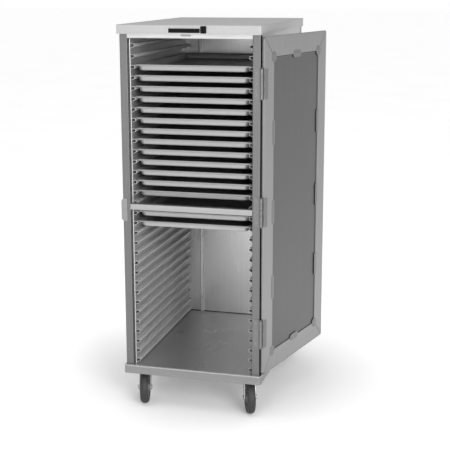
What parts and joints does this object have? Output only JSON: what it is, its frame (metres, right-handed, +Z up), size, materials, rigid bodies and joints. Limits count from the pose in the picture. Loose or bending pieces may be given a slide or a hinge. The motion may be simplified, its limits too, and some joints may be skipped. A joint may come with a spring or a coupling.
{
  "type": "insulated pan carrier cabinet",
  "caption": "Tall insulated metal cabinet on swivel casters, with a side-hinged door standing open and sheet pans carried on ledges inside.",
  "frame": {"origin": "on the floor, under the centre of the bounding box with the door open as stored", "axes": "+Z up, -Y out of the open front, +X towards the hinged side"},
  "size_m": [0.6924, 0.8167, 1.484],
  "materials": {
    "cover_sheet": "fine brushed",
    "base_metal": "satin",
    "deck_plate": "satin, scuffed",
    "frame_metal": "satin",
    "outer_skin": "fine brushed",
    "inner_liner": "satin",
    "ledge_metal": "satin, pressed",
    "insulation": "matt fibre",
    "label_black": "satin",
    "hardware": "brushed",
    "caster_steel": "bright plated",
    "wheel_hub": "smooth",
    "wheel_tyre": "matt",
    "door_sheet": "fine brushed",
    "door_inner_panel": "satin",
    "clip_metal": "satin",
    "pan_metal": "smooth, bright edges"
  },
  "bodies": {
    "cabinet": {"base_rim": "base_metal", "deck": "deck_plate", "post_front_left": "frame_metal", "post_front_right": "frame_metal", "post_rear_left": "frame_metal", "post_rear_right": "frame_metal", "top_cover": "cover_sheet", "ceiling_panel": "inner_liner", "header_rail": "frame_metal", "mid_rail": "frame_metal", "side_skin_left": "outer_skin", "side_skin_right": "outer_skin", "back_skin": "outer_skin", "side_liner_left": "inner_liner", "side_liner_right": "inner_liner", "back_liner": "inner_liner", "pan_slides_left": "ledge_metal", "pan_slides_right": "ledge_metal", "wall_insulation": "insulation", "label_plate": "label_black", "latch_strike": "hardware", "cabinet_screws": "hardware", "hinge_frame_leaves": "hardware", "caster_plates": "caster_steel"},
    "door": {"door_skin": "door_sheet", "door_frame": "door_sheet", "door_panel": "door_inner_panel", "door_insulation": "insulation", "door_clips": "clip_metal", "hinge_door_leaves": "hardware", "hinge_pins": "hardware", "latch_housing": "hardware"},
    "latch_lever": {"latch_lever": "hardware"},
    "caster_front_left": {"caster_fork_front_left": "caster_steel"},
    "wheel_front_left": {"wheel_hub_front_left": "wheel_hub", "wheel_tyre_front_left": "wheel_tyre"},
    "caster_front_right": {"caster_fork_front_right": "caster_steel"},
    "wheel_front_right": {"wheel_hub_front_right": "wheel_hub", "wheel_tyre_front_right": "wheel_tyre"},
    "caster_rear_left": {"caster_fork_rear_left": "caster_steel"},
    "wheel_rear_left": {"wheel_hub_rear_left": "wheel_hub", "wheel_tyre_rear_left": "wheel_tyre"},
    "caster_rear_right": {"caster_fork_rear_right": "caster_steel"},
    "wheel_rear_right": {"wheel_hub_rear_right": "wheel_hub", "wheel_tyre_rear_right": "wheel_tyre"},
    "pan_01": {"pan_01": "pan_metal"},
    "pan_02": {"pan_02": "pan_metal"},
    "pan_03": {"pan_03": "pan_metal"},
    "pan_04": {"pan_04": "pan_metal"},
    "pan_05": {"pan_05": "pan_metal"},
    "pan_06": {"pan_06": "pan_metal"},
    "pan_07": {"pan_07": "pan_metal"},
    "pan_08": {"pan_08": "pan_metal"},
    "pan_09": {"pan_09": "pan_metal"},
    "pan_10": {"pan_10": "pan_metal"},
    "pan_11": {"pan_11": "pan_metal"},
    "pan_12": {"pan_12": "pan_metal"},
    "pan_13": {"pan_13": "pan_metal"},
    "pan_14": {"pan_14": "pan_metal"},
    "pan_15": {"pan_15": "pan_metal"}
  },
  "joints": [
    {"name": "door_hinge", "type": "hinge", "parent": "cabinet", "child": "door", "pos_m": [0.20433, -0.38721, 0.8], "axis": [0, 0, 1], "range_deg": [-256, 10]},
    {"name": "latch_pull", "type": "hinge", "parent": "door", "child": "latch_lever", "pos_m": [0.31224, 0.09933, 0.787], "axis": [0, 0, 1], "range_deg": [0, 35], "stiffness_Nm_per_rad": 0.05},
    {"name": "caster_swivel_front_left", "type": "hinge", "parent": "cabinet", "child": "caster_front_left", "pos_m": [-0.28117, -0.31021, 0.148], "axis": [0, 0, 1], "continuous": true},
    {"name": "wheel_roll_front_left", "type": "hinge", "parent": "caster_front_left", "child": "wheel_front_left", "pos_m": [-0.27307, -0.34529, 0.0635], "axis": [0.9744, 0.225, 0], "continuous": true},
    {"name": "caster_swivel_front_right", "type": "hinge", "parent": "cabinet", "child": "caster_front_right", "pos_m": [0.14083, -0.31021, 0.148], "axis": [0, 0, 1], "continuous": true},
    {"name": "wheel_roll_front_right", "type": "hinge", "parent": "caster_front_right", "child": "wheel_front_right", "pos_m": [0.15373, -0.34382, 0.0635], "axis": [0.9336, 0.3584, 0], "continuous": true},
    {"name": "caster_swivel_rear_left", "type": "hinge", "parent": "cabinet", "child": "caster_rear_left", "pos_m": [-0.28117, 0.33579, 0.148], "axis": [0, 0, 1], "continuous": true},
    {"name": "wheel_roll_rear_left", "type": "hinge", "parent": "caster_rear_left", "child": "wheel_rear_left", "pos_m": [-0.27307, 0.30071, 0.0635], "axis": [0.9744, 0.225, 0], "continuous": true},
    {"name": "caster_swivel_rear_right", "type": "hinge", "parent": "cabinet", "child": "caster_rear_right", "pos_m": [0.14083, 0.33579, 0.148], "axis": [0, 0, 1], "continuous": true},
    {"name": "wheel_roll_rear_right", "type": "hinge", "parent": "caster_rear_right", "child": "wheel_rear_right", "pos_m": [0.15373, 0.30218, 0.0635], "axis": [0.9336, 0.3584, 0], "continuous": true},
    {"name": "pan_01_slide", "type": "slide", "parent": "cabinet", "child": "pan_01", "axis": [0, -1, 0], "range_m": [0, 0.72]},
    {"name": "pan_02_slide", "type": "slide", "parent": "cabinet", "child": "pan_02", "axis": [0, -1, 0], "range_m": [0, 0.72]},
    {"name": "pan_03_slide", "type": "slide", "parent": "cabinet", "child": "pan_03", "axis": [0, -1, 0], "range_m": [0, 0.72]},
    {"name": "pan_04_slide", "type": "slide", "parent": "cabinet", "child": "pan_04", "axis": [0, -1, 0], "range_m": [0, 0.72]},
    {"name": "pan_05_slide", "type": "slide", "parent": "cabinet", "child": "pan_05", "axis": [0, -1, 0], "range_m": [0, 0.72]},
    {"name": "pan_06_slide", "type": "slide", "parent": "cabinet", "child": "pan_06", "axis": [0, -1, 0], "range_m": [0, 0.72]},
    {"name": "pan_07_slide", "type": "slide", "parent": "cabinet", "child": "pan_07", "axis": [0, -1, 0], "range_m": [0, 0.72]},
    {"name": "pan_08_slide", "type": "slide", "parent": "cabinet", "child": "pan_08", "axis": [0, -1, 0], "range_m": [0, 0.72]},
    {"name": "pan_09_slide", "type": "slide", "parent": "cabinet", "child": "pan_09", "axis": [0, -1, 0], "range_m": [0, 0.72]},
    {"name": "pan_10_slide", "type": "slide", "parent": "cabinet", "child": "pan_10", "axis": [0, -1, 0], "range_m": [0, 0.72]},
    {"name": "pan_11_slide", "type": "slide", "parent": "cabinet", "child": "pan_11", "axis": [0, -1, 0], "range_m": [0, 0.72]},
    {"name": "pan_12_slide", "type": "slide", "parent": "cabinet", "child": "pan_12", "axis": [0, -1, 0], "range_m": [0, 0.72]},
    {"name": "pan_13_slide", "type": "slide", "parent": "cabinet", "child": "pan_13", "axis": [0, -1, 0], "range_m": [0, 0.72]},
    {"name": "pan_14_slide", "type": "slide", "parent": "cabinet", "child": "pan_14", "axis": [0, -1, 0], "range_m": [0, 0.72]},
    {"name": "pan_15_slide", "type": "slide", "parent": "cabinet", "child": "pan_15", "axis": [0, -1, 0], "range_m": [0, 0.72]}
  ]
}
